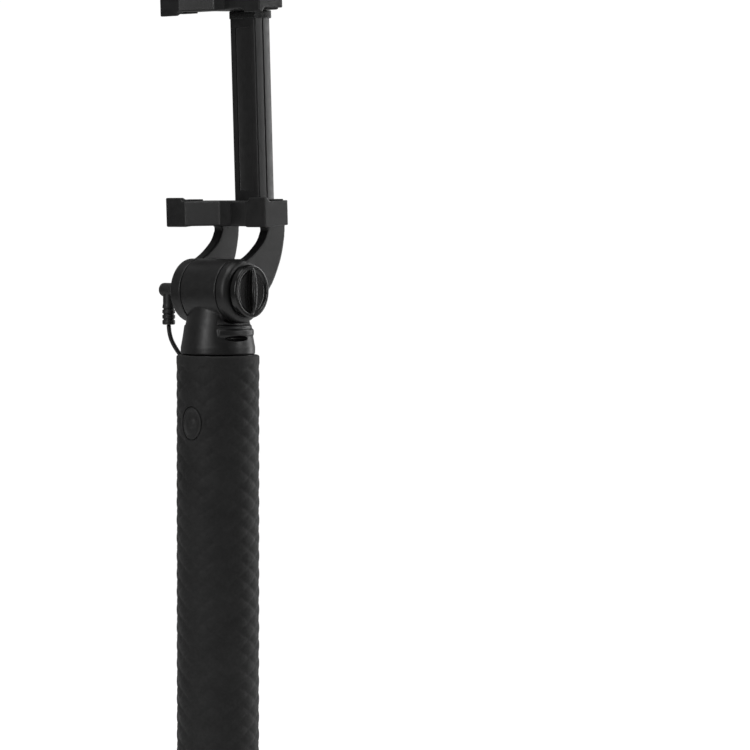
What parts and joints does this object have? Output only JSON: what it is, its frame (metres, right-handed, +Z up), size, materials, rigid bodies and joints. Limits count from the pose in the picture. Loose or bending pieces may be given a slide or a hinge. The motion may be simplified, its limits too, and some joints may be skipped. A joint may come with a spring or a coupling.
{
  "type": "selfie stick",
  "caption": "Wired selfie stick with a textured grip, telescopic metal tubes, a tilting hinged head with a parked phone lead, and a sprung two-jaw phone clamp.",
  "frame": {"origin": "centre of the flat underside of the end cap", "axes": "+Z up along the stick, +X towards the hinge knob along the hinge axis, -Y towards the user, where the phone is held"},
  "size_m": [0.0499, 0.042, 0.3068],
  "materials": {
    "grip_rubber": "matt moulded rubber with a woven relief",
    "button_rubber": "smooth silicone rubber",
    "satin_black_plastic": "satin glass-filled nylon",
    "gloss_black_plastic": "glossy moulded plastic",
    "bush_plastic": "acetal",
    "pad_rubber": "soft matt rubber",
    "bronze_aluminium": "bronze anodised",
    "plain_aluminium": "drawn tube, plain",
    "zinc_steel": "zinc plated steel",
    "plug_metal": "nickel plated",
    "lead_jacket": "satin flexible jacket",
    "board": "solder-masked board"
  },
  "bodies": {
    "handle": {"grip_sleeve": "grip_rubber", "handle_tube": "plain_aluminium", "top_ferrule": "gloss_black_plastic", "end_cap": "satin_black_plastic", "cord_anchor": "bush_plastic", "switch_board": "board", "tact_switch": "zinc_steel", "switch_wire": "lead_jacket"},
    "button": {"shutter_button": "button_rubber"},
    "tube_1": {"tube_1": "bronze_aluminium", "tube_1_bush": "bush_plastic", "tube_1_mouth_ring": "bush_plastic"},
    "tube_2": {"tube_2": "bronze_aluminium", "tube_2_bush": "bush_plastic", "tube_2_mouth_ring": "bush_plastic"},
    "head": {"tube_3": "bronze_aluminium", "tube_3_bush": "bush_plastic", "inner_cord": "lead_jacket", "head_body": "satin_black_plastic", "head_pin": "zinc_steel", "hinge_nut": "zinc_steel", "parking_bush": "gloss_black_plastic", "friction_washer_left": "bush_plastic", "friction_washer_right": "bush_plastic", "lead_relief": "lead_jacket", "lead": "lead_jacket", "plug_boot": "lead_jacket", "plug_body": "lead_jacket", "plug_pin": "plug_metal"},
    "knob": {"knob": "gloss_black_plastic", "hinge_bolt": "zinc_steel"},
    "clamp": {"clamp_fork": "satin_black_plastic", "lower_jaw": "satin_black_plastic", "lower_jaw_screw_left": "zinc_steel", "lower_jaw_screw_right": "zinc_steel", "lower_pad_left": "pad_rubber", "lower_pad_right": "pad_rubber", "bar_channel": "satin_black_plastic", "bar_back_cover": "satin_black_plastic", "bar_cap": "gloss_black_plastic", "bar_screw": "zinc_steel", "spring_pin_lower": "zinc_steel", "clamp_spring_left": "zinc_steel", "clamp_spring_right": "zinc_steel"},
    "upper_jaw": {"slide_bar": "zinc_steel", "upper_jaw": "satin_black_plastic", "upper_jaw_screw": "zinc_steel", "upper_pad_left": "pad_rubber", "upper_pad_right": "pad_rubber", "spring_pin_upper": "zinc_steel"}
  },
  "joints": [
    {"name": "tube_1_slide", "type": "slide", "parent": "handle", "child": "tube_1", "axis": [0, 0, 1], "range_m": [0, 0.12]},
    {"name": "tube_2_slide", "type": "slide", "parent": "tube_1", "child": "tube_2", "axis": [0, 0, 1], "range_m": [0, 0.12]},
    {"name": "tube_3_slide", "type": "slide", "parent": "tube_2", "child": "head", "axis": [0, 0, 1], "range_m": [0, 0.12]},
    {"name": "clamp_tilt", "type": "hinge", "parent": "head", "child": "clamp", "pos_m": [0, 0, 0.1963], "axis": [1, 0, 0], "range_deg": [-60, 90]},
    {"name": "knob_turn", "type": "hinge", "parent": "head", "child": "knob", "pos_m": [0, 0, 0.1963], "axis": [1, 0, 0], "range_deg": [0, 270]},
    {"name": "jaw_slide", "type": "slide", "parent": "clamp", "child": "upper_jaw", "axis": [0, -0.0436, 0.999], "range_m": [0, 0.022], "stiffness_N_per_m": 300, "springref_m": -0.02, "deforming": ["clamp_spring_left", "clamp_spring_right"]},
    {"name": "shutter_press", "type": "slide", "parent": "handle", "child": "button", "axis": [0, 1, 0], "range_m": [0, 0.0005], "stiffness_N_per_m": 800, "springref_m": -0.0005}
  ]
}
